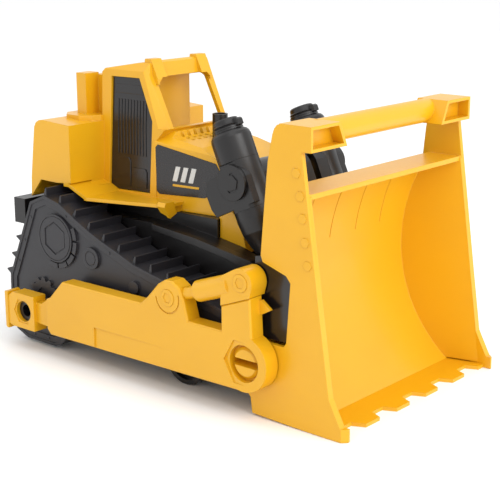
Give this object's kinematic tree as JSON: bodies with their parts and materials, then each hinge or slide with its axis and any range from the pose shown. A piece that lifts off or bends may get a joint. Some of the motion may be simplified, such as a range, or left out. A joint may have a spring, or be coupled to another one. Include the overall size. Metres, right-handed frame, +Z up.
{
  "type": "toy bulldozer",
  "caption": "Toy track-type bulldozer with a liftable curved blade, push arms, swinging lift cylinders and hidden rolling wheels.",
  "frame": {"origin": "bottom centre of the whole toy's bounding box, on the ground", "axes": "+X forward towards the blade, +Y to the vehicle's left, +Z up"},
  "size_m": [0.3901, 0.2492, 0.2575],
  "materials": {
    "body_yellow": "semi-gloss moulded yellow plastic",
    "blade_yellow": "semi-gloss moulded yellow plastic",
    "arm_yellow": "semi-gloss moulded yellow plastic",
    "panel_black": "semi-gloss moulded black plastic",
    "decal_print": "printed gloss film",
    "exhaust_black": "satin moulded black plastic",
    "tub_black": "satin moulded black plastic",
    "track_black": "satin moulded dark plastic",
    "wheel_black": "satin moulded black plastic",
    "pin_black": "satin moulded black plastic",
    "peg_black": "satin moulded black plastic",
    "cylinder_black": "satin moulded black plastic",
    "cap_black": "satin moulded black plastic",
    "rod_black": "gloss moulded black plastic",
    "steel": "drawn steel wire and screws"
  },
  "bodies": {
    "vehicle": {"body_shell": "body_yellow", "cab_side_panel": "panel_black", "exhaust_stub": "exhaust_black", "hood_decal_left": "decal_print", "hood_decal_right": "decal_print", "chassis_tub": "tub_black", "track_pod_left": "track_black", "track_pod_right": "track_black", "arm_pivot_pin_left": "peg_black", "arm_pivot_pin_right": "peg_black", "base_screws": "steel", "drum_pin": "pin_black"},
    "arms": {"push_arm_left": "arm_yellow", "push_arm_right": "arm_yellow", "tilt_link_left": "arm_yellow", "tilt_link_right": "arm_yellow", "link_pins_left": "arm_yellow", "link_pins_right": "arm_yellow"},
    "blade_set": {"blade": "blade_yellow", "blade_peg_left": "blade_yellow", "blade_peg_right": "blade_yellow", "notch_cover_left": "rod_black", "notch_cover_right": "rod_black", "rod_pins": "pin_black"},
    "cylinders": {"lift_cradle": "cylinder_black", "cylinder_top_left": "cylinder_black", "cylinder_top_right": "cylinder_black", "cylinder_nozzle_left": "cylinder_black", "cylinder_nozzle_right": "cylinder_black", "barrel_cap_left": "cap_black", "barrel_cap_right": "cap_black", "drum_end_plate_left": "cap_black", "drum_end_plate_right": "cap_black"},
    "rods": {"lift_rod_left": "rod_black", "lift_rod_right": "rod_black"},
    "front_wheels": {"axle_front": "steel", "wheel_front_left": "wheel_black", "wheel_front_right": "wheel_black"},
    "rear_wheels": {"axle_rear": "steel", "wheel_rear_left": "wheel_black", "wheel_rear_right": "wheel_black"}
  },
  "joints": [
    {"name": "arm_lift", "type": "hinge", "parent": "vehicle", "child": "arms", "pos_m": [-0.149, 0, 0.0361], "axis": [0, -1, 0], "range_deg": [0, 10]},
    {"name": "blade_level", "type": "hinge", "parent": "arms", "child": "blade_set", "pos_m": [0.1099, 0, 0.0469], "axis": [0, -1, 0], "range_deg": [-10.2, 0.2]},
    {"name": "cylinder_swing", "type": "hinge", "parent": "vehicle", "child": "cylinders", "pos_m": [0.0492, 0, 0.1696], "axis": [0, -1, 0], "range_deg": [-0.2, 9.5]},
    {"name": "rod_slide", "type": "slide", "parent": "cylinders", "child": "rods", "axis": [-0.4108, 0, 0.9117], "range_m": [-0.0002, 0.0424]},
    {"name": "front_wheel_spin", "type": "hinge", "parent": "vehicle", "child": "front_wheels", "pos_m": [0.02, 0, 0.022], "axis": [0, 1, 0], "continuous": true},
    {"name": "rear_wheel_spin", "type": "hinge", "parent": "vehicle", "child": "rear_wheels", "pos_m": [-0.15, 0, 0.022], "axis": [0, 1, 0], "continuous": true}
  ],
  "couplings": [
    {"joint": "blade_level", "follows": "arm_lift", "ratio": -1},
    {"joint": "cylinder_swing", "follows": "arm_lift", "ratio": 0.93},
    {"joint": "rod_slide", "follows": "arm_lift", "m_per_rad": 0.2412}
  ]
}
